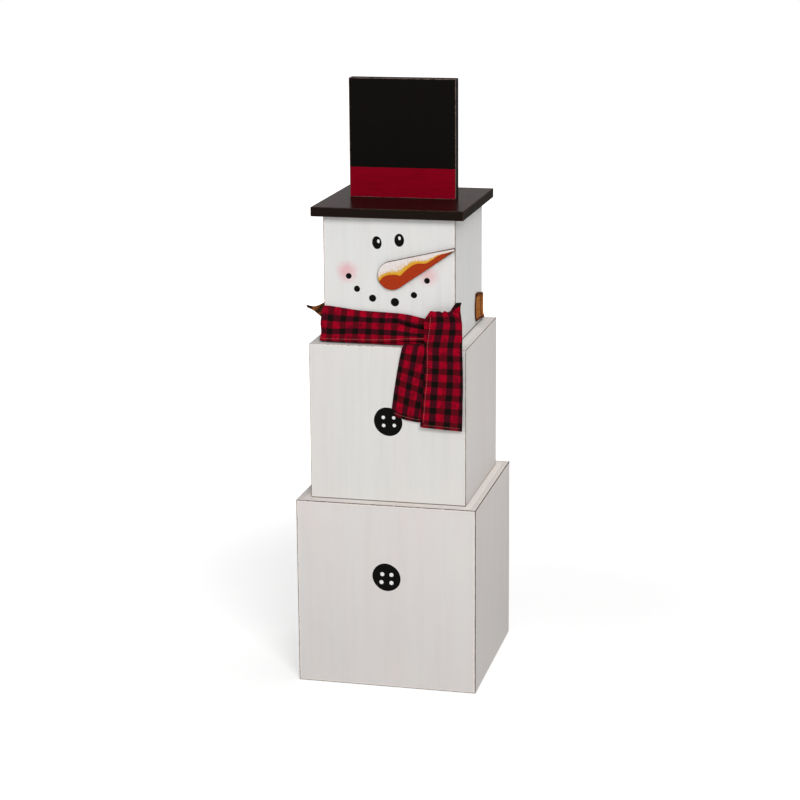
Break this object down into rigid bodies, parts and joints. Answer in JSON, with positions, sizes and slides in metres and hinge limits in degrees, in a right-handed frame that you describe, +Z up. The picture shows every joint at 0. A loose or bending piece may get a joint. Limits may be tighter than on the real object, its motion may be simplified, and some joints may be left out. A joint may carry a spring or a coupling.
{
  "type": "wooden snowman figure",
  "caption": "Free-standing snowman of three stacked hollow wooden boxes with a board hat, carrot nose and check scarves.",
  "frame": {"origin": "centre of the flat underside of the bottom box, on the surface that the figure stands on", "axes": "+Z up; the painted face, the nose and the red scarf look along -Y; +X is to the right of someone who looks at the face"},
  "size_m": [0.2794, 0.2794, 0.9208],
  "materials": {
    "white_paint": "whitewashed paint, matt to satin, brown rubbed edges",
    "raw_wood": "bare softwood",
    "brim_paint": "espresso brown paint, satin",
    "crown_paint": "black paint, satin, with a red painted band",
    "nose_paint": "orange, ochre and white paint",
    "red_check_cloth": "brushed cotton flannel",
    "brown_check_cloth": "brushed cotton flannel",
    "screw_steel": "zinc plated"
  },
  "bodies": {
    "root": {"bottom_front_panel": "white_paint", "bottom_right_panel": "white_paint", "bottom_back_panel": "white_paint", "bottom_left_panel": "white_paint", "bottom_top_panel": "white_paint", "bottom_base_panel": "white_paint", "bottom_battens": "raw_wood", "middle_front_panel": "white_paint", "middle_right_panel": "white_paint", "middle_back_panel": "white_paint", "middle_left_panel": "white_paint", "middle_top_panel": "white_paint", "middle_base_panel": "white_paint", "middle_battens": "raw_wood", "head_front_panel": "white_paint", "head_right_panel": "white_paint", "head_back_panel": "white_paint", "head_left_panel": "white_paint", "head_top_panel": "white_paint", "head_base_panel": "white_paint", "head_battens": "raw_wood", "base_screws": "screw_steel", "lower_tier_screws": "screw_steel", "upper_tier_screws": "screw_steel", "brim_screws": "screw_steel", "crown_screws": "screw_steel", "hat_brim": "brim_paint", "hat_crown": "crown_paint", "carrot_nose": "nose_paint", "front_scarf_band": "red_check_cloth", "back_scarf_band": "brown_check_cloth", "front_scarf_knot": "red_check_cloth", "back_scarf_knot": "brown_check_cloth", "front_scarf_over_tail": "red_check_cloth", "back_scarf_over_tail": "brown_check_cloth", "front_scarf_under_tail": "red_check_cloth", "back_scarf_under_tail": "brown_check_cloth", "back_scarf_loose_end": "brown_check_cloth"}
  },
  "joints": []
}
